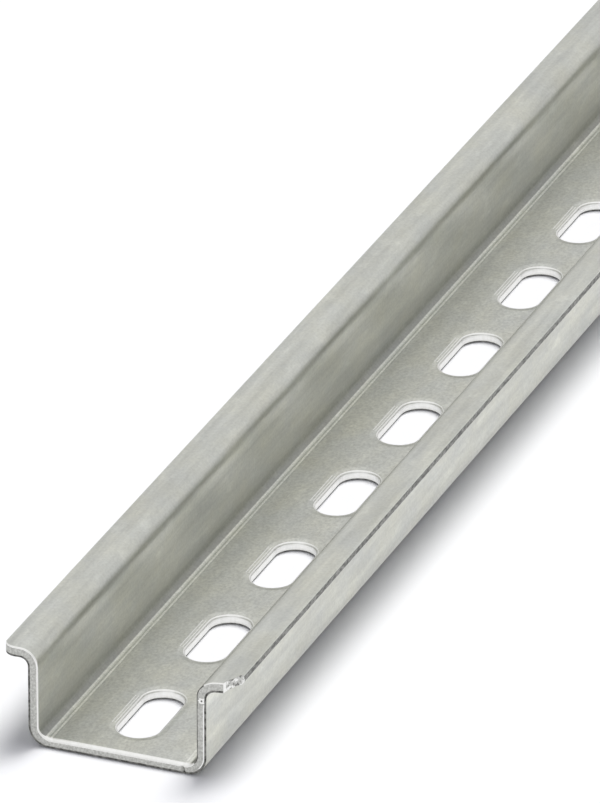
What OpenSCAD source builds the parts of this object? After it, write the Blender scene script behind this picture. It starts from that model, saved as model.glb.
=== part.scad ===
// Perforated top-hat mounting rail, 35 x 15 mm, for clip-on wiring devices.
//
// One length of zinc-plated steel strip: roll-formed to a hat section, punched
// with a row of fixing slots down the middle of its base, and cut to length.
// The rail lies on its base. +X is across it, +Y along it and +Z up, and the
// origin is the middle of the underside of the base.

/* [Strip] */
// Length of the rail
rail_length = 1000; // [50:25:2000]
// Thickness of the steel strip
strip_thickness = 1.5; // [1:0.1:2.3]
// Radius worn on the slit edges of the strip
edge_radius = 0.3; // [0.1:0.05:0.45]

/* [Section] */
// Width across both flanges, which the devices clip over
rail_width = 35; // [33:0.5:60]
// Width across the outsides of the two webs
base_width = 27; // [16:0.5:29]
// Height from the underside of the base to the top of the flanges
rail_height = 15; // [7.5:0.5:30]
// Inside radius of the bends between the base and the webs
base_bend_radius = 1.5; // [0.5:0.1:4]
// Inside radius of the bends between the webs and the flanges
flange_bend_radius = 1.2; // [0.5:0.1:2.5]
// Radius on the corners of the flanges at a cut end
flange_corner_radius = 2; // [0.5:0.1:3.5]

/* [Fixing slots] */
// Width of a slot, for the shank of an M6 screw
slot_width = 6.2; // [3:0.1:8]
// Length of a slot from end to end
slot_length = 15; // [9:0.5:22]
// Distance from one slot to the next
slot_pitch = 25; // [20:1:100]
// Radius that the punch rolls over on the rim of a slot, inside the channel
slot_rim_radius = 0.3; // [0.1:0.05:0.5]

/* [Hidden] */

$fn = 96;

// How far a punch runs past the faces that it cuts
punch_over = 1;

// The flat stretches of strip that are left between the bends
base_flat = base_width - 2 * (base_bend_radius + strip_thickness);
web_flat = rail_height - base_bend_radius - flange_bend_radius - 2 * strip_thickness;
flange_flat = (rail_width - base_width) / 2 - flange_bend_radius - edge_radius;

// The row of slots is centred on the rail, so a rail that is cut to a whole
// number of pitches ends half a pitch past its last slot
slot_count = floor(rail_length / slot_pitch);
slot_row = (slot_count - 1) * slot_pitch;

// ---------- The strip in section, in the XY plane ----------
// Each piece below is drawn from the end of the one before it: the strip runs
// along +x, its outer face is on y = 0, and the next piece is its child.

// A straight stretch of strip
module flat(length) {
    square([length, strip_thickness]);
    translate([length, 0]) children();
}

// A quarter of a ring about the origin, from +x round to +y
module quarter_ring(inner_radius) {
    outer_radius = inner_radius + strip_thickness;
    intersection() {
        difference() {
            circle(outer_radius);
            circle(inner_radius);
        }
        square(outer_radius);
    }
}

// A bend through 90 degrees to the left, towards the inside of the channel
module bend_in(inner_radius) {
    outer_radius = inner_radius + strip_thickness;
    translate([0, outer_radius]) rotate(-90) quarter_ring(inner_radius);
    translate([outer_radius, outer_radius]) rotate(90) children();
}

// A bend through 90 degrees to the right, away from the channel
module bend_out(inner_radius) {
    translate([0, -inner_radius]) quarter_ring(inner_radius);
    translate([inner_radius, -inner_radius]) rotate(-90) children();
}

// The end of the strip, where slitting and plating have rounded both corners
module slit_edge() {
    for (y = [edge_radius, strip_thickness - edge_radius])
        translate([0, y]) circle(edge_radius);
    translate([0, edge_radius])
        square([edge_radius, strip_thickness - 2 * edge_radius]);
}

// From the edge of the flat base up the web and out along the flange
module web_and_flange() {
    bend_in(base_bend_radius)
        flat(web_flat)
            bend_out(flange_bend_radius)
                flat(flange_flat)
                    slit_edge();
}

module hat_section() {
    translate([-base_flat / 2, 0]) flat(base_flat);
    for (side = [0, 1])
        mirror([side, 0]) translate([base_flat / 2, 0]) web_and_flange();
}

// ---------- The fixing slots ----------

// Half of a slot's section, from its middle plane out to its wall. The punch
// comes in from the channel, so the upper rim of the wall is rolled over.
module half_slot_section() {
    wall = slot_width / 2;
    translate([0, -punch_over])
        square([wall, strip_thickness + 2 * punch_over]);
    difference() {
        translate([wall, strip_thickness - slot_rim_radius])
            square([slot_rim_radius, slot_rim_radius + punch_over]);
        translate([wall + slot_rim_radius, strip_thickness - slot_rim_radius])
            circle(slot_rim_radius);
    }
}

// What the punch takes away: two round ends and the straight gap between them
module slot() {
    straight = slot_length - slot_width;
    for (turn = [0, 180])
        rotate(turn) translate([0, straight / 2])
            rotate_extrude(angle = 180) half_slot_section();
    translate([0, straight / 2]) rotate([90, 0, 0]) linear_extrude(straight)
        for (side = [0, 1]) mirror([side, 0]) half_slot_section();
}

module slot_row_punches() {
    for (i = [0 : slot_count - 1])
        translate([0, i * slot_pitch - slot_row / 2]) slot();
}

// ---------- The cut ends ----------

// What is dressed off one corner of a flange: the square outside the radius
module flange_corner() {
    inset = flange_corner_radius;
    translate([rail_width / 2 - inset, rail_length / 2 - inset, -punch_over])
        linear_extrude(rail_height + 2 * punch_over)
            difference() {
                square(inset + punch_over);
                circle(inset);
            }
}

module flange_corners() {
    for (side = [0, 1], end = [0, 1])
        mirror([side, 0]) mirror([0, end]) flange_corner();
}

// ---------- The rail ----------

module rail() {
    color([0.78, 0.79, 0.76])
        difference() {
            translate([0, rail_length / 2, 0]) rotate([90, 0, 0])
                linear_extrude(rail_length) hat_section();
            slot_row_punches();
            flange_corners();
        }
}

rail();
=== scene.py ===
# %% [markdown]
# # A length of perforated top-hat rail
#
# The real object is one strip of zinc-plated steel, 1.5 mm thick. Rollers bend
# it to a hat, 35 mm wide and 15 mm high, a punch makes the row of fixing slots
# down the middle of its base, and a shear cuts it to length.
#
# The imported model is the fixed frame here. It already has the right shape at
# the right size, so this notebook adds what the eye looks for on bare metal:
# softened edges, the marks of the punch and the shear, and the plating itself.

# %% Load the frame
import math

import bmesh
import bpy
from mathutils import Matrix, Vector, noise


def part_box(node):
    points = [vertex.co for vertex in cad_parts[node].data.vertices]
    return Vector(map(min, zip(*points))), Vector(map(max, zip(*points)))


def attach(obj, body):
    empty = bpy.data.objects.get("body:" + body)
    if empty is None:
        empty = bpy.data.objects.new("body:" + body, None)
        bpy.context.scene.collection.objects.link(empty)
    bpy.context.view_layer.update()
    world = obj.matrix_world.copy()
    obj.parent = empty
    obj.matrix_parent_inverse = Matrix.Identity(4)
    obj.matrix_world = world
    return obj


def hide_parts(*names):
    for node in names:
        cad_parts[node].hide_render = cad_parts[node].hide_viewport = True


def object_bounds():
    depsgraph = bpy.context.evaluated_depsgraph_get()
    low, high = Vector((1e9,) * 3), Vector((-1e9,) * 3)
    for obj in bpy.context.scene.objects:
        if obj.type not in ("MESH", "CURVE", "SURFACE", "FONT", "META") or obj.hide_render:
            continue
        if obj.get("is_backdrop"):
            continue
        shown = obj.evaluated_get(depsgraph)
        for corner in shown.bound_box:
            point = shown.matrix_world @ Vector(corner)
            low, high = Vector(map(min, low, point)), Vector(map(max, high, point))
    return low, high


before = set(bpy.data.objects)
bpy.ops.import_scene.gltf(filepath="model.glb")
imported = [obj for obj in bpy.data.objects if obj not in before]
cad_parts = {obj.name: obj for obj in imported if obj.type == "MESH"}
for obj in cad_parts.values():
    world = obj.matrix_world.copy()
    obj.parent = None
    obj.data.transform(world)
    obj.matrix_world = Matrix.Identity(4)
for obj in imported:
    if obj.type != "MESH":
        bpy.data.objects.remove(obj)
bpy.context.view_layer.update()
print("frame nodes:", sorted(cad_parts))

# %% [markdown]
# ## Sizes
#
# The outside of the rail is measured on the frame. The strip's thickness, the
# bends and the slots can't be read off a box, so they repeat the sizes that
# the part's source states. All lengths are metres, written as millimetres.

# %% Sizes of the rail
MM = 0.001
rail_low, rail_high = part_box("rail")
half_width = rail_high.x
half_length = rail_high.y
rail_height = rail_high.z

strip = 1.5 * MM
base_width = 27 * MM
base_bend = 1.5 * MM
flange_bend = 1.2 * MM
slit_round = 0.3 * MM
corner_round = 2 * MM
slot_width = 6.2 * MM
slot_length = 15 * MM
slot_pitch = 25 * MM
slot_rim = 0.3 * MM

base_flat = base_width - 2 * (base_bend + strip)
web_flat = rail_height - base_bend - flange_bend - 2 * strip
flange_flat = half_width - base_width / 2 - flange_bend - slit_round
slot_count = int(2 * half_length / slot_pitch + 0.5)
print(f"flats: base {base_flat / MM:.1f}, web {web_flat / MM:.1f}, flange {flange_flat / MM:.1f} mm")
print(f"{slot_count} slots in {2 * half_length / MM:.0f} mm")

# %% [markdown]
# ## The section, walked like a strip through the rollers
#
# A roll-formed section has one thickness all the way round, so one line down
# the middle of the strip describes it. A small walker goes along that line and
# leaves a station at each stop: where the middle is, which way the channel
# side faces, and half of the thickness there. Both faces of the metal then
# come from the same stations, and the wall can't vary by accident.
#
# Smooth shading blends the light over every face that meets at a point. Each
# flat therefore gets a station a little way in from its bends. These holding
# stations keep the flats flat, and let only the bends look round.
#
# The edge of the forming roller leaves a faint step in the base beside each
# bend. A station can carry that as a dent, which only the channel side has.

# %% The walker
hold = 0.15 * MM
bend_steps = 10
slit_steps = 5


class StripWalk:
    """Goes along the middle of the strip and leaves stations (x, z, nx, nz, half, dent)."""

    def __init__(self, x, z):
        self.x = x
        self.z = z
        self.heading = 0.0
        self.stations = []

    def mark(self, half=strip / 2, dent=0.0):
        """Leaves a station here. Its normal points to the channel side."""
        normal = (-math.sin(self.heading), math.cos(self.heading))
        self.stations.append((self.x, self.z, *normal, half, dent))

    def ahead(self, length):
        """Goes straight on for that length."""
        self.x += length * math.cos(self.heading)
        self.z += length * math.sin(self.heading)

    def flat(self, length):
        """A straight stretch, with holding stations near both of its ends."""
        for part in (hold, length - 2 * hold, hold):
            self.ahead(part)
            self.mark()

    def bend(self, turn, inside):
        """A quarter turn: turn is 1 to the left and -1 to the right."""
        radius = inside + strip / 2
        centre_x = self.x - turn * radius * math.sin(self.heading)
        centre_z = self.z + turn * radius * math.cos(self.heading)
        for _ in range(bend_steps):
            self.heading += turn * math.pi / 2 / bend_steps
            self.x = centre_x + turn * radius * math.sin(self.heading)
            self.z = centre_z - turn * radius * math.cos(self.heading)
            self.mark()

    def slit_edge(self):
        """The end of the strip, where both of its corners are rounded."""
        start_x = self.x
        for step in range(1, slit_steps + 1):
            angle = math.pi / 2 * step / slit_steps
            self.x = start_x + slit_round * math.sin(angle)
            self.mark(strip / 2 - slit_round * (1 - math.cos(angle)))


print(f"a bend gets {bend_steps} stations and a slit edge {slit_steps}")

# %% Walk from the base to the slit edge
# The roller's mark: distance in from the bend, and depth, from the middle outwards
roller_mark = [(1.9 * MM, 0.0), (0.54 * MM, 0.05 * MM), (0.44 * MM, 0.05 * MM), (0.27 * MM, 0.0),
               (hold, 0.0), (0.0, 0.0)]
cell_half_width = base_flat / 2 - roller_mark[0][0]
walk = StripWalk(cell_half_width, strip / 2)
for from_bend, dent in roller_mark:
    walk.x = base_flat / 2 - from_bend
    walk.mark(dent=dent)
walk.bend(1, base_bend)
walk.flat(web_flat)
walk.bend(-1, flange_bend)
walk.flat(flange_flat)
walk.slit_edge()
right_side = walk.stations
left_side = [(-x, z, -nx, nz, half, dent) for x, z, nx, nz, half, dent in reversed(right_side)]
print(f"{len(right_side)} stations a side, out to x = {walk.x / MM:.2f} mm")

# %% [markdown]
# ## Patches that are welded to one skin
#
# The rail is made of patches: the swept sides, forty squares of base with a
# slot in each, and the two cut ends. Each patch is a grid of points, and the
# grids meet point for point, so welding the points that lie on each other
# turns them into one closed skin. Every face also remembers what it is, since
# a rolled face, a slit edge, a sheared face and a punched wall look different.

# %% Patches
# The punched finish also paints highlights, and the torn finish also paints shade
ROLLED, SLIT, SHEARED, PUNCHED_AND_HIGHLIGHT, TORN_AND_SHADE, CRUMBLED_WITH_PAINTED_LIGHT = range(6)
# Where a cut face has its points, from the channel side to the plate side
cut_shares = (0.0, 0.17, 0.34, 0.51, 0.65, 0.79, 1.0)
skin = bmesh.new()
print(f"{len(cut_shares) - 1} columns of faces through the strip where it is cut")


def top_of(stop, y, inset=0.0):
    """The point on the channel side at a station."""
    x, z, nx, nz, half, dent = stop
    out = half - inset - dent
    return (x + nx * out, y, z + nz * out)


def under_of(stop, y, inset=0.0):
    """The point on the plate side at a station."""
    x, z, nx, nz, half, dent = stop
    out = half - inset
    return (x - nx * out, y, z - nz * out)


def through(top, under):
    """Points through the strip, from one on the channel side to one on the plate side."""
    return [Vector(top).lerp(Vector(under), share) for share in cut_shares]


def across(stop, y):
    """Points through the strip at a station."""
    return through(top_of(stop, y), under_of(stop, y))


def patch(rows, finish, closed=False):
    """Adds a grid of quads through rows of points. The finish is one number, or one for each column."""
    grid = [[skin.verts.new(point) for point in row] for row in rows]
    columns = len(grid[0])
    for near, far in zip(grid, grid[1:]):
        for i in range(columns if closed else columns - 1):
            j = (i + 1) % columns
            face = skin.faces.new((near[i], near[j], far[j], far[i]))
            face.material_index = finish if isinstance(finish, int) else finish[i]


# %% [markdown]
# ## A square of base with its slot
#
# The punch comes in from the channel. It drags the surface down with it and
# rolls over the rim, shears a bright wall, and breaks out near the bottom.
# Modelling this with bevels would round every edge alike, so the square is
# built of rings instead. Each ring is the slot's outline moved outwards, with
# its own height, and the last ring is the square's border. A table of offset
# and height is all that the whole slot needs, and it is easy to tune.

# %% Half of the outline and half of the border
arc_steps = 20
side_steps = 3
straight = slot_length - slot_width
across_steps = 2 + arc_steps + 2 - 2 * side_steps


def slot_half():
    """Half of the outline, anticlockwise from the right: (x, y, outward x, outward y)."""
    wall = slot_width / 2
    points = [(wall, 0, 1, 0), (wall, straight / 4, 1, 0)]
    for step in range(arc_steps + 1):
        angle = math.pi * step / arc_steps
        c = math.cos(angle)
        s = math.sin(angle)
        points.append((wall * c, straight / 2 + wall * s, c, s))
    points.append((-wall, straight / 4, -1, 0))
    return points


def border_half(reach):
    """Half of the square's border, which ends that far ahead of the slot's middle."""
    points = [(cell_half_width, reach * k / side_steps) for k in range(side_steps)]
    for k in range(across_steps + 1):
        points.append((cell_half_width * (1 - 2 * k / across_steps), reach))
    points += [(-cell_half_width, reach * k / side_steps) for k in range(side_steps - 1, 0, -1)]
    return points


outline = slot_half()
assert len(outline) == len(border_half(slot_pitch / 2))
print(f"{len(outline)} points in half a slot and in half a border")


# %% Whole rings
def slot_ring(middle, offset, height):
    """The slot's outline, moved outwards by offset, at a height."""
    ring = []
    for turn in (1, -1):
        for x, y, out_x, out_y in outline:
            ring.append((turn * (x + out_x * offset), middle + turn * (y + out_y * offset), height))
    return ring


def border_ring(middle, back, ahead, height):
    """The square's border, from back behind the slot's middle to ahead of it."""
    upper = [(x, middle + y, height) for x, y in border_half(ahead)]
    lower = [(-x, middle - y, height) for x, y in border_half(back)]
    return upper + lower


print(f"{len(slot_ring(0.0, 0.0, 0.0))} points in a ring")

# %% Heights round a slot
rim_steps = 4
breakout = 0.12 * MM
breakout_end = 0.35 * breakout
torn_to = 0.20 * MM
burnished_to = 0.45 * MM
# Offset from the wall and depth below the face: the dished skirt round the rim
skirt = [
    (0.34 * MM, 0.070 * MM), (0.55 * MM, 0.060 * MM), (0.64 * MM, 0.030 * MM),
    (0.99 * MM, 0.026 * MM), (1.08 * MM, 0.0), (1.25 * MM, 0.0),
]


def wall_rings():
    """Offset and height of each ring, from the underside up to the rolled rim."""
    rings = [(breakout, 0.0), (breakout_end, torn_to), (0.0, burnished_to)]
    for step in range(rim_steps + 1):
        angle = math.pi / 2 * step / rim_steps
        offset = slot_rim * (1 - math.cos(angle))
        height = strip - skirt[0][1] - slot_rim * (1 - math.sin(angle))
        rings.append((offset, height))
    return rings


print(f"{len(wall_rings())} rings up the wall and {len(skirt)} in the skirt")

# %% [markdown]
# ## Painted highlights on one side of the slot
#
# Two bright lines are painted into the skirt along the left wall of each
# slot: painted highlights, where the skirt's dips catch the light on that side
# only. They could be a finish with a mask of its own. But two of the
# skirt's rings of faces already lie where the lines are, so it is simpler to
# give those faces the bright finish where they pass along the left wall.

# %% One square of base
under_ring = 1.2 * MM
highlight_rings = (2, 4)
hair = 0.01 * MM
on_left = [x < -slot_width / 2 + hair for x, y, z in slot_ring(0.0, 0.0, 0.0)]
# Painted highlights: the left side's faces of two skirt rings get the bright finish
left_side_highlight = [PUNCHED_AND_HIGHLIGHT if a and b else ROLLED for a, b in zip(on_left, on_left[1:] + on_left[:1])]


def base_square(middle, back, ahead):
    """One square of base round the slot at middle."""
    under = [border_ring(middle, back, ahead, 0.0), slot_ring(middle, under_ring, 0.0),
             slot_ring(middle, breakout, 0.0)]
    patch(under, ROLLED, closed=True)
    wall = [slot_ring(middle, *ring) for ring in wall_rings()]
    # The ring at the foot of the wall gets the dark finish: the breakout, and painted shade for the
    # dark line where wall meets floor
    patch(wall[:2], TORN_AND_SHADE, closed=True)
    patch(wall[1:], PUNCHED_AND_HIGHLIGHT, closed=True)
    over = [wall[-1]]
    over += [slot_ring(middle, offset, strip - depth) for offset, depth in skirt]
    over.append(border_ring(middle, back, ahead, strip))
    for index, pair in enumerate(zip(over, over[1:])):
        patch(pair, left_side_highlight if index in highlight_rings else ROLLED, closed=True)


print(f"{left_side_highlight.count(PUNCHED_AND_HIGHLIGHT)} faces of a ring lie along the highlighted side")

# %% [markdown]
# ## Sweeping the sides past the squares
#
# The sides are the same section all along, so a station row every few
# millimetres is enough. The rows stand where the squares have their border
# points, which is what lets the two kinds of patch be welded. The last few
# millimetres at each end are left for the cut, so the outer squares are short.

# %% Squares and sides
end_zone = 3 * MM
first_slot = -half_length + slot_pitch / 2
rows_y = []
for index in range(slot_count):
    middle = first_slot + index * slot_pitch
    back = slot_pitch / 2 - (end_zone if index == 0 else 0)
    ahead = slot_pitch / 2 - (end_zone if index == slot_count - 1 else 0)
    base_square(middle, back, ahead)
    rows_y += [middle - back * (1 - k / side_steps) for k in range(side_steps)]
    rows_y += [middle + ahead * k / side_steps for k in range(side_steps)]
rows_y.append(half_length - end_zone)

for side in (left_side, right_side):
    patch([[top_of(stop, y) for stop in side] for y in rows_y], ROLLED)
    patch([[under_of(stop, y) for stop in side] for y in rows_y], ROLLED)
for tip in (left_side[0], right_side[-1]):
    patch([across(tip, y) for y in rows_y], SLIT)
print(f"{len(rows_y)} rows, {len(skin.faces)} faces so far")

# %% [markdown]
# ## The cut ends
#
# A shear leaves the most telling surface on the rail: the edge that the blade
# enters is drawn over to a small radius, and the rest of the face is a coarse
# grey fracture. The sweep is too coarse for that, so the last 3 mm have many
# more stations. The change from few stations to many is one row of faces that
# have extra points along one side. They lie in the flats, where they are flat.

# %% Dense stations
end_step = 0.17 * MM
same_way = 1e-6
same_thickness = 1e-9


def between(a, b, share):
    """The station at a share of the way from one station to the next."""
    return tuple(p + (q - p) * share for p, q in zip(a, b))


def dense_runs(stations):
    """For each pair of stations, the finer stations from the first to the second."""
    runs = []
    for a, b in zip(stations, stations[1:]):
        length = math.dist(a[:2], b[:2])
        level = math.dist(a[2:4], b[2:4]) < same_way and abs(a[4] - b[4]) < same_thickness
        pieces = max(1, math.ceil(length / end_step)) if level else 1
        runs.append([between(a, b, k / pieces) for k in range(pieces + 1)])
    return runs


base_stations = []
for k in range(1, across_steps):
    x = cell_half_width * (2 * k / across_steps - 1)
    base_stations.append((x, strip / 2, 0.0, 1.0, strip / 2, 0.0))
whole_section = left_side + base_stations + right_side
runs = dense_runs(whole_section)
dense_section = [runs[0][0]] + [stop for run in runs for stop in run[1:]]
print(f"{len(whole_section)} stations along the rail, {len(dense_section)} at a cut")

# %% Rows of a drawn edge
# Distance from the end in mm, and how far the channel side and the plate side are drawn in there
edge_rows = [(2.4, 0, 0), (1.8, 0, 0), (1.3, 0, 0), (0.9, 0, 0), (0.58, 0, 0),
             (0.47, 0.03, 0), (0.38, 0.08, 0), (0.14, 0.27, 0), (0.06, 0.35, 0.02), (0, 0.46, 0.12)]
# How many of the rows are flat, and how many make the burr and the lip on the plate side
flat_rows = 5
burr_rows = 4
lip_rows = 3
drawn_on_webs = 0.45
drawn_on_right_flange = 0.35


def drawn_share(stop):
    """How large the drawn edge is at a station: full on the base, smaller on the webs and flanges."""
    x, z = stop[:2]
    up = min(max((abs(x) - base_flat / 2) / base_bend, 0.0), 1.0)
    on_right_flange = x > 0 and z > rail_height - strip - flange_bend
    least = drawn_on_right_flange if on_right_flange else drawn_on_webs
    return 1 - (1 - least) * up


def drawn_point(side_of, sign, stop, row, column):
    """A point near the cut, drawn in by as much as its row and its station ask."""
    share = drawn_share(stop) if row[0] <= edge_rows[flat_rows - 1][0] else 1.0
    return side_of(stop, sign * (half_length - row[0] * share * MM), row[column] * share * MM)


drawn_deep = edge_rows[-1][1]
print(f"drawn edge {drawn_deep} mm deep on the base, {drawn_deep * drawn_on_webs:.2f} mm on the webs")

# %% [markdown]
# ## What the cut shows along the section
#
# The shear leaves the right web with its burr on the channel side, which gets
# the dark finish: partly the burr, partly painted shade for the dark that this
# edge reflects. Below a bead of metal, which comes further on, a pale line is
# painted down its cut near the plate side: a painted highlight. Both
# follow the section, so each is one yes or no for every station.

# %% The burr with painted shade, and the painted pale line
bead_x = 12.8 * MM
bead_z = 11.9 * MM
bead_size = 0.5 * MM
faces_channel = -0.7
# The right web's channel side: burr and painted shade
burr_and_shade = [stop[2] < faces_channel for stop in dense_section]
# Painted highlight: a pale line down the right web's cut, below the bead
has_painted_highlight = [burr_shade and stop[1] < bead_z - bead_size for burr_shade, stop in zip(burr_and_shade, dense_section)]
line_from = has_painted_highlight.index(True)
line_to = len(has_painted_highlight) - has_painted_highlight[::-1].index(True)
# The column nearest the plate side gets the dark finish: torn metal, and painted shade along the cut's
# lower edge
plain_face = [SHEARED] * (len(cut_shares) - 2) + [TORN_AND_SHADE]
# The painted highlight is the bright finish in the column next to the plate side's dark one
highlight_face = plain_face[:-2] + [PUNCHED_AND_HIGHLIGHT, TORN_AND_SHADE]
print(f"{sum(burr_and_shade)} of {len(burr_and_shade)} stations have a burr, and {line_to - line_from} have the line")


# %% A cut end
def widen(side_of, sign):
    """The row of faces from the few stations of the sweep to the many of the cut."""
    for run in runs:
        near = [side_of(end, sign * (half_length - end_zone)) for end in (run[0], run[-1])]
        far = [drawn_point(side_of, sign, stop, edge_rows[0], 1) for stop in reversed(run)]
        face = skin.faces.new([skin.verts.new(place) for place in near + far])
        face.material_index = ROLLED


def cut_end(sign):
    """Closes the rail at one end: the dense rows, their drawn edges and the cut face."""
    widen(top_of, sign)
    widen(under_of, sign)
    top = [[drawn_point(top_of, sign, stop, row, 1) for stop in dense_section] for row in edge_rows]
    under = [[drawn_point(under_of, sign, stop, row, 2) for stop in dense_section] for row in edge_rows]
    patch(top[:flat_rows], ROLLED)
    # The drawn edge gets the bright finish, a painted highlight that widens its glint; on the right web
    # its outer rows get the dark finish instead, as burr and painted shade
    patch(top[flat_rows - 1:-burr_rows + 1], [ROLLED if burr_shade else PUNCHED_AND_HIGHLIGHT for burr_shade in burr_and_shade])
    patch(top[-burr_rows:], [TORN_AND_SHADE if burr_shade else PUNCHED_AND_HIGHLIGHT for burr_shade in burr_and_shade])
    patch(under[:-lip_rows + 1], ROLLED)
    # The plate-side lip gets the dark finish: torn metal, and painted shade under the cut's edges
    patch(under[-lip_rows:], TORN_AND_SHADE)
    for tip in (0, -1):
        sweep_row = across(dense_section[tip], sign * (half_length - end_zone))
        tip_rows = [through(over[tip], below[tip]) for over, below in zip(top, under)]
        patch([sweep_row] + tip_rows, SLIT)
    face_rows = [through(*pair) for pair in zip(top[-1], under[-1])]
    patch(face_rows[:line_from + 1], plain_face)
    patch(face_rows[line_from:line_to], highlight_face)
    patch(face_rows[line_to - 1:], plain_face)


for sign in (-1, 1):
    cut_end(sign)
weld_within = 0.002 * MM
bmesh.ops.remove_doubles(skin, verts=skin.verts, dist=weld_within)
open_edges = sum(1 for edge in skin.edges if len(edge.link_faces) != 2)
print(f"{len(skin.verts)} points, {len(skin.faces)} faces, {open_edges} open edges")

# %% [markdown]
# ## Corners and a torn tip
#
# The flanges have their corners dressed to a 2 mm radius. One of them was
# hurt when the rail was cut: past a step its tip is torn back to a ragged lip.
# Cutting the tip off with a boolean would leave the mesh open to bad faces.
# All of this only changes where the metal ends, so points near the end slide
# along the rail instead, by a distance that depends on their place in the
# section. The slide fades away within 8 mm.

# %% How far the corners and the tip stand back
slide_reach = 8 * MM
hurt_from = 13.4 * MM
lip_from = 15.9 * MM
sweep_slope = 0.24
lip_slope = 1.7
undercut_slope = 0.4
step_deep = 0.45 * MM
step_wide = 0.2 * MM
# Depth of the crumbs, and how many there are in a millimetre
crumb_lumps = [(0.5 * MM, 1.5), (0.3 * MM, 3.1)]
crumb_seed = 4.0
crumbs_grow_over = 0.3 * MM


def corner_setback(x):
    """How far a dressed corner stands back from the cut, by its distance from the middle."""
    out = min(max(abs(x) - (half_width - corner_round), 0.0), corner_round)
    return corner_round - math.sqrt(corner_round**2 - out**2)


def torn_setback(x, z):
    """The torn tip: a gentle sweep over the bend, then a step and a steep ragged lip."""
    if x < hurt_from or z < rail_height / 2:
        return 0.0
    lip = max(x - lip_from, 0.0)
    step = step_deep * min(lip / step_wide, 1.0)
    undercut = undercut_slope * (rail_height - z) * min(lip / MM, 1.0)
    spot = Vector((x / MM, z / MM, crumb_seed))
    crumbs = sum(deep * noise.noise(spot * fine) for deep, fine in crumb_lumps)
    crumbs *= min(lip / crumbs_grow_over, 1.0)
    torn = sweep_slope * (x - hurt_from) + step + lip_slope * lip + undercut + crumbs
    return max(torn, corner_setback(x))


print(f"the torn tip stands back {torn_setback(half_width, rail_height) / MM:.2f} mm")

# %% [markdown]
# ## Marks in the cut itself
#
# Below the torn tip the web has a pinch with a bead of metal in it, and the
# base has a nick. The rest of the cut is a coarse fracture. These are dents up
# to a third of a millimetre deep, in a face that looks along the rail. So they
# are slides as well, of the points in the last tenth of a millimetre only.
# The bead is a ring that the pinch leaves standing round a small pit.

# %% How far the marks stand back
cut_depth = 0.1 * MM
pinch_deep = 0.30 * MM
pinch_reach = 1.3
bead_ring = 0.2
bead_soft = 0.25
nick_x = 10.2 * MM
nick_lean = 0.35
nick_deep = 0.32 * MM
nick_soft = 0.17
# Depth of the fracture, and how many lumps it has in a millimetre
fracture_lumps = [(0.022 * MM, 1.1), (0.016 * MM, 4.3)]
fracture_seed = 7.0


def bead_distance(x, z):
    """Distance in mm from the bead of metal at the top of the right web."""
    return math.hypot(x - bead_x, z - bead_z) / MM


def shear_marks(x, z):
    """A pinch with the bead in it, and a nick in the base beside the right bend."""
    from_bead = bead_distance(x, z)
    bead = math.exp(-(((from_bead - bead_ring) / bead_soft) ** 2))
    pinch = pinch_deep * max(1 - from_bead / pinch_reach, 0.0) - pinch_deep * bead
    from_nick = (x - nick_x + nick_lean * z) / MM
    nick = nick_deep * math.exp(-((from_nick / nick_soft) ** 2)) if z < strip else 0.0
    return max(pinch, 0.0) + nick


def fracture(x, z, seed):
    """Small depth of the fracture under the plane of the cut."""
    spot = Vector((x / MM, z / MM, seed))
    return sum(deep * (1 + noise.noise(spot * fine)) for deep, fine in fracture_lumps)


print(f"the nick stands back {shear_marks(nick_x, 0.0) / MM:.2f} mm")

# %% [markdown]
# ## Sliding, and marking what is crumbled
#
# One pass over the points moves both ends at once, and only the near one has
# the damage. Each point slides by its own setback, less and less with its
# distance from the end, so that the rows behind the tip spread out evenly and
# no face folds over. Then the faces of the lip and the bead get their finish.

# %% Slide the ends into shape
slid = 0
for vert in skin.verts:
    x, y, z = vert.co
    end = -1 if y < 0 else 1
    from_end = half_length - abs(y)
    if from_end > slide_reach:
        continue
    hurt = end < 0 and x > 0
    setback = max(corner_setback(x), torn_setback(x, z) if hurt else 0.0)
    setback *= 1 - from_end / slide_reach
    if from_end < cut_depth:
        marks = fracture(x, z, fracture_seed * end) + (shear_marks(x, z) if hurt else 0.0)
        setback += marks * (1 - from_end / cut_depth)
    vert.co.y = end * (half_length - from_end - setback)
    slid += setback > 0
print(f"{slid} points slid back")

# %% Mark the crumbled metal
crumbled_within = 5 * MM
lip_height = 1.5 * strip
lip_border = 0.1 * MM
for face in skin.faces:
    x, y, z = face.calc_center_median()
    on_cut = face.material_index not in (ROLLED, SLIT)
    if y > -half_length + crumbled_within or x < base_width / 2 - strip or not on_cut:
        continue
    on_lip = z > rail_height - lip_height and x > lip_from - lip_border
    if on_lip or bead_distance(x, z) < bead_size / MM:
        face.material_index = CRUMBLED_WITH_PAINTED_LIGHT
print(sum(face.material_index == CRUMBLED_WITH_PAINTED_LIGHT for face in skin.faces), "crumbled faces")

# %% [markdown]
# ## Round bends and crisp cuts
#
# Smooth shading everywhere would make the edges of a cut look melted, and flat
# shading would show each bend as a row of strips. An angle decides between
# them. Faces in a bend differ by 9 degrees, in a slit edge by 18 and in the
# rim of a slot by 22, and the edges of a cut differ by far more. So 33 degrees
# keeps the first three smooth and the last ones sharp.

# %% Finish the mesh
smooth_up_to = math.radians(33)
bmesh.ops.recalc_face_normals(skin, faces=skin.faces)
mesh = bpy.data.meshes.new("rail_skin")
skin.to_mesh(mesh)
skin.free()
mesh.polygons.foreach_set("use_smooth", [True] * len(mesh.polygons))
mesh.set_sharp_from_angle(angle=smooth_up_to)
rail = bpy.data.objects.new("rail_skin", mesh)
bpy.context.scene.collection.objects.link(rail)
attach(rail, "root")
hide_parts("rail")
triangles = sum(len(polygon.vertices) - 2 for polygon in mesh.polygons)
print(f"{triangles} triangles")

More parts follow.
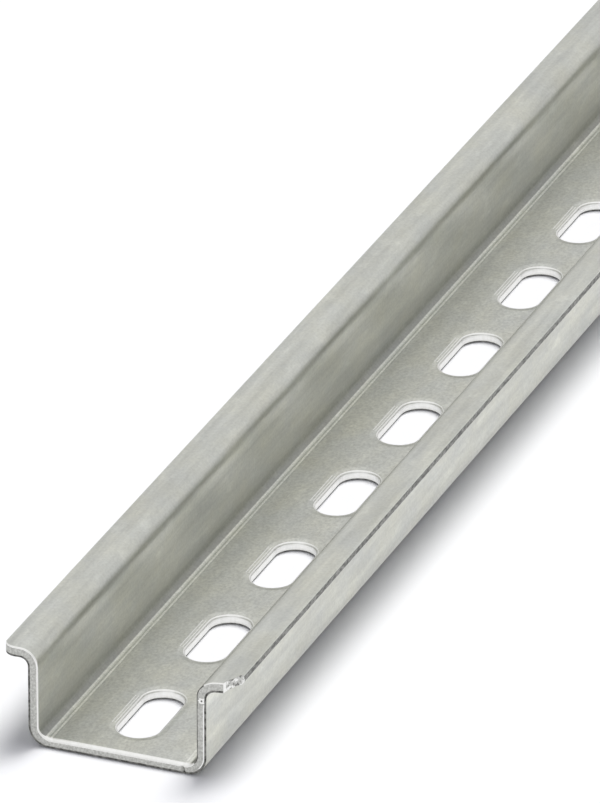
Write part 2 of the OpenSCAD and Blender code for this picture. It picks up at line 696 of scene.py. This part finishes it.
# %% [markdown]
# ## What all the finishes are made of
#
# Bright zinc is a thin plating, so it is metal all through: its colour is the
# tint of what it reflects, painted darker or paler in a few places as painted
# shade and painted highlights, and everything else is roughness and relief. An
# image of such marks would have to be unwrapped over a metre of bent strip.
# Noise that is measured in the rail's own millimetres needs no unwrapping, and
# its marks keep their size wherever they lie. On a rolled strip the marks run
# along the rail, so the noise is stretched along +Y: two hundred times for the
# rolling lines, twelve times for smears and twice for the bath's clouds.
#
# There are six finishes, and each is a short tree of nodes. The helpers below
# add one or two nodes each, so that a finish reads like a recipe.

# %% Helpers for node trees
def new_material(name):
    """An empty material with a shader: (material, node tree, shader)."""
    made = bpy.data.materials.new(name)
    made.use_nodes = True
    tree = made.node_tree
    return made, tree, tree.nodes["Principled BSDF"]


def feed(tree, socket, value):
    """Gives an input its number or colour, or links another node's socket to it."""
    if isinstance(value, bpy.types.NodeSocket):
        tree.links.new(value, socket)
    else:
        socket.default_value = value


def add(tree, kind, settings=None, **inputs):
    """Adds a node. Inputs are numbers, colours, or sockets to link from."""
    made = tree.nodes.new(kind)
    for key, value in (settings or {}).items():
        setattr(made, key, value)
    for key, value in inputs.items():
        socket = made.inputs[int(key[1:])] if key[0] == "i" and key[1:].isdigit() else made.inputs[key]
        feed(tree, socket, value)
    return made


def calculate(tree, kind, first, second=0.0):
    """The outcome of a sum on one or two values."""
    return add(tree, "ShaderNodeMath", {"operation": kind}, i0=first, i1=second).outputs[0]


def multiply(tree, first, second):
    """The product of two values."""
    return calculate(tree, "MULTIPLY", first, second)


# %% Helpers for patterns
def stretched_noise(tree, per_mm, seed, detail=3.0):
    """Noise with so many lumps a millimetre along x, y and z."""
    place = tree.nodes.get("Texture Coordinate") or tree.nodes.new("ShaderNodeTexCoord")
    scale = [n / MM for n in per_mm]
    spread = add(tree, "ShaderNodeMapping", Vector=place.outputs["Object"], Scale=scale,
                 Location=(seed, seed * 0.7, seed * 0.3))
    made = add(tree, "ShaderNodeTexNoise", Vector=spread.outputs["Vector"], Scale=1.0, Detail=detail,
               Roughness=0.55)
    return made.outputs["Fac"]


def section_place(tree):
    """Where a point lies on the section: x across the rail, and z up from its underside."""
    place = tree.nodes["Texture Coordinate"].outputs["Object"]
    parts = add(tree, "ShaderNodeSeparateXYZ", Vector=place)
    return parts.outputs["X"], parts.outputs["Z"]


def remap(tree, value, low, high, to_low, to_high):
    """A value from low..high to to_low..to_high, held at both ends."""
    made = add(tree, "ShaderNodeMapRange", Value=value)
    made.inputs["From Min"].default_value = low
    made.inputs["From Max"].default_value = high
    made.inputs["To Min"].default_value = to_low
    made.inputs["To Max"].default_value = to_high
    return made.outputs["Result"]


def band(tree, value, low, high, soft):
    """1 between low and high, and 0 beyond a soft border on each side."""
    rise = remap(tree, value, low - soft, low, 0, 1)
    return multiply(tree, rise, remap(tree, value, high, high + soft, 1, 0))


# %% Helpers for colour and relief
def blend_colour(tree, share, first, second, kind="MIX"):
    """Blends two colours by a share."""
    made = tree.nodes.new("ShaderNodeMix")
    made.data_type = "RGBA"
    made.blend_type = kind
    # Inputs 6 and 7 of this node are its two colours, and 0 is the share
    for index, value in ((0, share), (6, first), (7, second)):
        feed(tree, made.inputs[index], value)
    return made.outputs[2]


def bump(tree, height, distance, under=None):
    """Relief of that depth, laid over another bump if there is one."""
    made = add(tree, "ShaderNodeBump", Height=height, Distance=distance, Strength=1.0)
    if under is not None:
        tree.links.new(under, made.inputs["Normal"])
    return made.outputs["Normal"]


def finish_metal(tree, shader, colour, relief, roughness):
    """Connects what a finish has worked out to its shader, as metal."""
    tree.links.new(colour, shader.inputs["Base Color"])
    tree.links.new(relief, shader.inputs["Normal"])
    feed(tree, shader.inputs["Roughness"], roughness)
    shader.inputs["Metallic"].default_value = 1.0


# %% [markdown]
# ## Zinc on the rolled faces
#
# The plating is a pale warm grey. It isn't even: the bath leaves clouds, hands
# and boxes leave smears and scuffs, and the rollers leave fine lines along
# the strip. Each is a noise of its own size, because one noise at one size
# looks like stone and not like handled metal.

# %% Zinc: what happens by chance
zinc, zinc_tree, zinc_shader = new_material("zinc_plate")
clouds = stretched_noise(zinc_tree, (0.22, 0.12, 0.22), 3.1, 5.0)
smears = stretched_noise(zinc_tree, (0.60, 0.05, 0.60), 12.7, 3.0)
lines = stretched_noise(zinc_tree, (2.6, 0.012, 2.6), 8.2, 3.0)
grain = stretched_noise(zinc_tree, (2.6, 2.0, 2.6), 5.5, 2.0)
scuffs = stretched_noise(zinc_tree, (0.45, 0.22, 0.45), 31.3, 5.0)
print("noises so far:", sum(node.bl_idname == "ShaderNodeTexNoise" for node in zinc_tree.nodes))

# %% [markdown]
# ## Painted shade in the bends, and bands beside them
#
# Inside the two base bends the zinc is painted darker: painted shade for the
# dark that the bends reflect. Beside them the rollers rub narrow bands
# smoother, and those are painted paler as well: painted highlight. High on the
# webs a painted sheen makes the zinc a little paler. Those marks lie at the
# same place in the section all along the rail. Painting them by hand would take
# a metre of care, so they are worked out from the place in the section: how
# far out from the middle, and how far up. The painted shade in the bends and
# the bright bands are on the channel side only, so both also ask for a height
# above half of the strip.

# %% Zinc: what happens by place
bend_top = strip + 5 * MM
bend_from = base_flat / 2 + 0.35 * MM
bend_shade_from = bend_from + 0.25 * MM
inner_web = base_width / 2 - strip
bend_shade_to = inner_web + 0.1 * MM
bend_shade_soft = 0.1 * MM
deep_shade_to = inner_web - 0.4 * MM
deep_shade_soft = 0.15 * MM
web_top = rail_height - strip - flange_bend
pale_height = 0.9 * MM

across_rail, up = section_place(zinc_tree)
out = calculate(zinc_tree, "ABSOLUTE", across_rail)
channel_side = remap(zinc_tree, up, 0.5 * strip, 0.7 * strip, 0, 1)
low_web = multiply(zinc_tree, channel_side, remap(zinc_tree, up, strip + 0.1 * MM, bend_top, 1, 0))
# Painted shade: the zinc is painted darker inside the two base bends
painted_bend_shade = multiply(zinc_tree, low_web, band(zinc_tree, out, bend_shade_from, bend_shade_to, bend_shade_soft))
# More painted shade, in the lower part of each base bend
painted_deep_bend_shade = multiply(zinc_tree, painted_bend_shade, band(zinc_tree, out, bend_shade_from, deep_shade_to, deep_shade_soft))
# Painted sheen: the zinc is painted a little paler high on the webs
high_web_sheen = band(zinc_tree, up, web_top - pale_height, web_top, pale_height)
on_base = remap(zinc_tree, up, strip, 2 * strip, 1, 0)
print(f"dull inside the bends from {bend_shade_from / MM:.2f} to {bend_shade_to / MM:.2f} mm out")

# %% Zinc: the bands that the rollers rub smooth, painted brighter as a highlight
# Out from the middle, in mm: from, to, softness and amount of the rubbing and of its painted highlight
rubbed_highlight_bands = [(9.40, 10.02, 0.30, 0.25), (10.07, 10.25, 0.06, 1.0),
                (10.28, 10.56, 0.06, 0.5), (10.62, 10.90, 0.06, 1.0)]
rubbed_highlight_fade = 0.2 * MM
rubbed_and_highlight = 0.0
# Each band is partly rubbed smoother, which lowers the roughness, and partly a painted highlight in the
# colour
for low, high, soft, amount in rubbed_highlight_bands:
    rubbed_highlight = multiply(zinc_tree, band(zinc_tree, out, low * MM, high * MM, soft * MM), amount)
    rubbed_and_highlight = calculate(zinc_tree, "ADD", rubbed_and_highlight, rubbed_highlight)
rubbed_and_highlight = multiply(zinc_tree, rubbed_and_highlight, remap(zinc_tree, up, 2 * strip, 2 * strip + rubbed_highlight_fade, 1, 0))
rubbed_and_highlight = multiply(zinc_tree, rubbed_and_highlight, channel_side)
print(f"{len(rubbed_highlight_bands)} rubbed bands on each side of the base")

# %% [markdown]
# ## From marks to a colour
#
# The clouds blend a cool grey with a warm one. Every other mark makes that
# colour darker or paler by a share, so they can all be multiplied into one
# shade. That keeps the hue, and no mark can turn the zinc into another metal.
# On the base the speckle is doubled and the smears are weaker.

# %% Zinc: the colour
ZINC_COOL = (0.655, 0.665, 0.630, 1)
ZINC_WARM = (0.640, 0.640, 0.575, 1)
SPECKLE = 0.06
SMEARED = 0.11
SMEARED_ON_BASE = 0.3
tint = blend_colour(zinc_tree, remap(zinc_tree, clouds, 0.35, 0.7, 0, 1), ZINC_COOL, ZINC_WARM)
speckle = remap(zinc_tree, grain, 0.3, 0.7, -SPECKLE, SPECKLE)
speckle = multiply(zinc_tree, speckle, calculate(zinc_tree, "ADD", on_base, 1.0))
wiped = remap(zinc_tree, smears, 0.3, 0.7, -SMEARED, SMEARED)
wiped = multiply(zinc_tree, wiped, remap(zinc_tree, on_base, 0, 1, 1, SMEARED_ON_BASE))
shade = calculate(zinc_tree, "ADD", speckle, 1.0)
shade = multiply(zinc_tree, shade, calculate(zinc_tree, "ADD", wiped, 1.0))
# Each mark, the range in which it counts, and the shade at the two ends of that range.
# The last four are painted: shade in the bends, sheen high on the webs, and the rubbed bands' highlight
marks = [
    (clouds, 0.3, 0.7, 0.95, 1.05), (scuffs, 0.56, 0.70, 1.0, 1.10), (lines, 0.3, 0.7, 0.98, 1.02),
    (painted_bend_shade, 0, 1, 1, 0.68), (painted_deep_bend_shade, 0, 1, 1, 0.74), (high_web_sheen, 0, 1, 1, 1.15),
    (rubbed_and_highlight, 0, 1, 1, 1.36),
]
for mark in marks:
    shade = multiply(zinc_tree, shade, remap(zinc_tree, *mark))
zinc_colour = blend_colour(zinc_tree, 1.0, tint, shade, "MULTIPLY")
print(f"{len(marks)} marks on the zinc")

# %% Zinc: gloss and relief
zinc_relief = 0.004 * MM
rough = remap(zinc_tree, smears, 0.3, 0.7, 0.36, 0.42)
rough = multiply(zinc_tree, rough, remap(zinc_tree, rubbed_and_highlight, 0, 1, 1, 0.6))
relief = bump(zinc_tree, lines, zinc_relief)
relief = bump(zinc_tree, grain, zinc_relief, under=relief)
finish_metal(zinc_tree, zinc_shader, zinc_colour, relief, rough)
print(f"the zinc has {len(zinc_tree.nodes)} nodes")

# %% [markdown]
# ## Four grained metals
#
# Wherever the strip was cut or torn, the plating is thin or gone, and bare
# steel shows its grain. Those faces differ in how coarse and deep the grain
# is, how dark it gets and how much it shines. One recipe makes them all: a
# noise that blends a dark tone with a pale one and is the relief as well, so
# that a dark speck is also a pit.

# %% A recipe for grained metal
def grained_metal(name, lumps, seed, detail, levels, dark, pale, deep, roughness):
    """Metal with a grain of so many lumps a millimetre, dark and pale at two levels of the noise."""
    made, tree, shader = new_material(name)
    grain = stretched_noise(tree, lumps, seed, detail)
    colour = blend_colour(tree, remap(tree, grain, *levels, 0, 1), dark, pale)
    finish_metal(tree, shader, colour, bump(tree, grain, deep * MM), roughness)
    return made


# %% [markdown]
# ## The slit edge and the sheared face
#
# The strip is slit from a wide coil, and its edge shows as a dark broken line
# along each flange. The grain there is longer along the rail. The face that
# the shear leaves at an end is a paler and finer grey, the same every way.

# %% Slit and sheared
slit = grained_metal("slit_edge_zinc", (2.4, 1.1, 2.4), 1.7, 4.0, (0.36, 0.66),
                     (0.10, 0.10, 0.095, 1), (0.34, 0.34, 0.32, 1), 0.04, 0.45)
sheared = grained_metal("sheared_zinc", (3.2, 3.2, 3.2), 4.4, 4.0, (0.32, 0.68),
                        (0.42, 0.42, 0.40, 1), (0.66, 0.665, 0.635, 1), 0.03, 0.5)
print("made", slit.name, "and", sheared.name)

# %% [markdown]
# ## The punched wall and the torn lip, with painted highlights and shade
#
# A punch burnishes the wall of a slot as it goes through, so that wall is the
# brightest metal on the rail, with faint streaks in its own direction, which
# is up and down. The same bright finish is also painted highlight: on the drawn
# edges of the cuts, on the lines beside the slots and on the pale line of the
# right web. Where a blade breaks out, the last of the metal tears. It is the
# darkest and the coarsest, and it is also painted shade: the thin dark line
# round what was cut stands for the shade at the foot of a slot's wall, under
# the cut's edges and in the dark that the right web's edge reflects.

# %% Punched and torn
# Bright burnished metal, and also the finish of painted highlights
punched_and_highlight = grained_metal("punched_zinc_and_highlight", (2.2, 2.2, 0.5), 6.1, 2.0, (0.3, 0.7),
                        (0.89, 0.89, 0.865, 1), (0.96, 0.96, 0.945, 1), 0.006, 0.36)
# Dark torn metal, and also the finish of painted shade
torn = grained_metal("torn_steel_and_shade", (1.6, 1.6, 1.6), 9.9, 4.0, (0.38, 0.62),
                     (0.07, 0.07, 0.065, 1), (0.29, 0.29, 0.275, 1), 0.05, 0.55)
print("made", punched_and_highlight.name, "and", torn.name)

# %% [markdown]
# ## The crumbled tip and the bead, with painted highlight and shade
#
# The torn tip has all three tones at once: bright on the high crumbs and
# along the step, which is painted highlight, grey where it broke, and dark in
# the low gaps and in the pit of the bead, which is painted shade. Giving each
# face one of the other finishes would show the faces as little squares. So a
# height decides it. It is a noise over the lip, it is high all along the step,
# and it drops to nothing in the pit of the bead.

# %% Crumbled
CRUMB_SHADE = (0.16, 0.16, 0.15, 1)
CRUMB_GREY = (0.58, 0.58, 0.56, 1)
CRUMB_HIGHLIGHT = (0.93, 0.93, 0.91, 1)
crumb_relief = 0.10 * MM
step_highlight = (lip_from + 0.05 * MM, lip_from + 0.25 * MM)
bead_pit = (0.10 * MM, 0.20 * MM)


def crumbled_zinc_with_painted_light():
    """The finish of the torn tip and of the bead, with painted highlight and painted shade."""
    made, tree, shader = new_material("crumbled_zinc_with_painted_light")
    crumbs = stretched_noise(tree, (1.3, 1.3, 1.3), 2.6, 2.0)
    x = section_place(tree)[0]
    place = tree.nodes["Texture Coordinate"].outputs["Object"]
    in_section = add(tree, "ShaderNodeVectorMath", {"operation": "MULTIPLY"}, i0=place, i1=(1, 0, 1))
    from_bead = add(tree, "ShaderNodeVectorMath", {"operation": "DISTANCE"},
                    i0=in_section.outputs[0], i1=(bead_x, 0, bead_z)).outputs["Value"]
    height = calculate(tree, "MAXIMUM", crumbs, remap(tree, x, *step_highlight, 1, 0))
    height = multiply(tree, height, remap(tree, from_bead, *bead_pit, 0, 1))
    # Painted shade where the height is low, in the gaps and the bead's pit, and painted highlight where
    # it is high
    colour = blend_colour(tree, remap(tree, height, 0.37, 0.45, 0, 1), CRUMB_SHADE, CRUMB_GREY)
    colour = blend_colour(tree, remap(tree, height, 0.52, 0.60, 0, 1), colour, CRUMB_HIGHLIGHT)
    finish_metal(tree, shader, colour, bump(tree, crumbs, crumb_relief), 0.4)
    return made


crumbled_with_painted_light = crumbled_zinc_with_painted_light()
print("made", crumbled_with_painted_light.name)

# %% Hand out the finishes
# In the order of the numbers that the faces carry
for finish in (zinc, slit, sheared, punched_and_highlight, torn, crumbled_with_painted_light):
    mesh.materials.append(finish)
print("finishes:", [finish.name for finish in mesh.materials])

# %% [markdown]
# ## The floor
#
# Metal looks like what stands round it, so the floor and the room matter as
# much as the plating. The rail lies on plain white paper. For the camera the
# paper is lit like everything else, so it keeps the rail's shadow. The metal
# would see that shadow again, and a rail that lies in its own shadow looks
# soiled. So what the metal sees of the floor is mostly plain white.

# %% Floor
floor_size = 12.0
floor_drop = 0.05 * MM
FLOOR_WHITE = (0.97, 0.97, 0.97, 1)
# How much of the floor that is seen in metal is plain white, and not the lit paper
FLOOR_IN_METAL = 0.60


def in_metal(tree):
    """1 for what is seen in metal or glass, and 0 for the light that those throw on the floor."""
    path = tree.nodes.new("ShaderNodeLightPath").outputs
    either = calculate(tree, "MAXIMUM", path["Is Glossy Ray"], path["Is Transmission Ray"])
    direct = calculate(tree, "LESS_THAN", path["Diffuse Depth"], 0.5)
    return multiply(tree, either, direct)


def paper_floor():
    """White paper, part of which shows as plain white in metal."""
    made = bpy.data.materials.new("studio_paper")
    made.use_nodes = True
    tree = made.node_tree
    tree.nodes.clear()
    out = tree.nodes.new("ShaderNodeOutputMaterial")
    lit = add(tree, "ShaderNodeBsdfDiffuse", Color=FLOOR_WHITE)
    white = add(tree, "ShaderNodeEmission", Color=FLOOR_WHITE, Strength=1.0)
    share = multiply(tree, in_metal(tree), FLOOR_IN_METAL)
    both = add(tree, "ShaderNodeMixShader", i0=share, i1=lit.outputs[0], i2=white.outputs[0])
    tree.links.new(both.outputs[0], out.inputs["Surface"])
    return made


bpy.ops.mesh.primitive_plane_add(size=floor_size, location=(0, 0, rail_low.z - floor_drop))
floor = bpy.context.object
floor.name = "floor"
floor.data.materials.append(paper_floor())
floor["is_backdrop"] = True
print(f"floor {floor_drop / MM:.2f} mm under the rail")

# %% [markdown]
# ## The room
#
# A world can be one thing to the camera, another to metal and a third as a
# source of light. Here the camera sees plain white. The metal sees pale grey
# walls under a white ceiling, which gives the bends a soft light side and
# a soft dark side. The light itself is a weak and slightly blue fill, like
# that of a window on a dull day.

# %% Room
ROOM_LIGHT = 0.38
ROOM_TINT = (0.91, 0.92, 1.0, 1)
WALLS = 0.79
CEILING = 1.0
# How steeply one looks up where the walls end and where the ceiling begins, as the sine
walls_to = 0.6
ceiling_from = 0.85

world = bpy.data.worlds.new("pale_room")
bpy.context.scene.world = world
world.use_nodes = True
sky = world.node_tree
sky.nodes.clear()
sky_out = sky.nodes.new("ShaderNodeOutputWorld")
lighting = add(sky, "ShaderNodeBackground", Color=ROOM_TINT, Strength=ROOM_LIGHT)
looks_towards = sky.nodes.new("ShaderNodeTexCoord").outputs["Generated"]
direction = add(sky, "ShaderNodeSeparateXYZ", Vector=looks_towards)
room = remap(sky, direction.outputs["Z"], walls_to, ceiling_from, WALLS, CEILING)
for_metal = in_metal(sky)
for_camera = sky.nodes.new("ShaderNodeLightPath").outputs["Is Camera Ray"]
shown = calculate(sky, "MAXIMUM", multiply(sky, room, for_metal), for_camera)
backdrop = add(sky, "ShaderNodeBackground", Color=(1, 1, 1, 1), Strength=shown)
seen = calculate(sky, "MAXIMUM", for_metal, for_camera)
mixed = add(sky, "ShaderNodeMixShader", i0=seen, i1=lighting.outputs[0], i2=backdrop.outputs[0])
sky.links.new(mixed.outputs[0], sky_out.inputs["Surface"])
print(f"walls at {WALLS} and ceiling at {CEILING} of white, fill light of {ROOM_LIGHT}")

# %% [markdown]
# ## The strip of soft lamps
#
# Three wide soft lamps stand one above the other behind the rail and make
# a tall strip of light. It shines nearly along the channel, so the shadows
# are short beside the rail and reach out in front of its cut end. Lamps of the
# sun kind light a whole metre of rail evenly, which a lamp that stands near
# doesn't. Their sum and the fill light make a little more than 1 on an open
# floor, a level at which a colour renders about as it is written. The metal
# doesn't see the lamps: a light tent does the same, and keeps hard glints off
# bare metal.

# %% Lamps
LAMP_LIGHT = 0.74
lamp_azimuth = math.radians(10)
lamp_elevations = [math.radians(angle) for angle in (55, 68, 80)]
lamp_spread = math.radians(26)
for elevation in lamp_elevations:
    lamp_data = bpy.data.lights.new("soft_lamp", "SUN")
    lamp_data.angle = lamp_spread
    lamp_data.energy = LAMP_LIGHT / len(lamp_elevations) * math.pi / math.sin(elevation)
    lamp = bpy.data.objects.new("soft_lamp", lamp_data)
    bpy.context.scene.collection.objects.link(lamp)
    lamp.visible_glossy = False
    from_lamp = Vector((math.sin(lamp_azimuth) * math.cos(elevation),
                        math.cos(lamp_azimuth) * math.cos(elevation),
                        math.sin(elevation)))
    lamp.rotation_mode = "QUATERNION"
    lamp.rotation_quaternion = from_lamp.to_track_quat("Z", "Y")
    print(f"lamp of {lamp_data.energy:.2f} at {math.degrees(elevation):.0f} degrees")
print(f"an open floor gets {LAMP_LIGHT + ROOM_LIGHT * ROOM_TINT[1]:.2f}")

# %% [markdown]
# ## Camera
#
# A long lens from well back keeps the edges of the rail nearly parallel, the
# way that a catalogue shows stock. It looks down on the near end, a little
# from the right, so that the section, the channel and one web all show. The
# camera is turned by the direction from the rail to the camera, so that the
# aim, the two angles and the distance can each be changed alone.

# %% Camera
look_at = Vector((-13.16 * MM, -half_length + 101.59 * MM, rail_height / 2))
camera_azimuth = math.radians(21.872)
camera_elevation = math.radians(26.127)
camera_distance = 1739.6 * MM

camera_data = bpy.data.cameras.new("camera")
camera_data.lens = 528.83
camera_data.sensor_width = 36.0
camera_data.clip_end = 50.0
camera = bpy.data.objects.new("camera", camera_data)
bpy.context.scene.collection.objects.link(camera)
towards_camera = Vector((math.sin(camera_azimuth) * math.cos(camera_elevation),
                         -math.cos(camera_azimuth) * math.cos(camera_elevation),
                         math.sin(camera_elevation)))
camera.location = look_at + towards_camera * camera_distance
camera.rotation_mode = "QUATERNION"
camera.rotation_quaternion = towards_camera.to_track_quat("Z", "Y")
bpy.context.scene.camera = camera
bpy.context.scene.view_settings.view_transform = "Standard"
print("camera at", tuple(round(v, 3) for v in camera.location))

# %% [markdown]
# ## Measuring the result
#
# The rail must still be as long, as wide and as high as the imported model, so
# the size of what is drawn is printed at the end. The fracture makes the dressed
# rail a few hundredths of a millimetre shorter, and nothing makes it larger.

# %% Measure the result and finish
low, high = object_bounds()
print("visual box:", [round(v / MM, 3) for v in (*low, *high)])
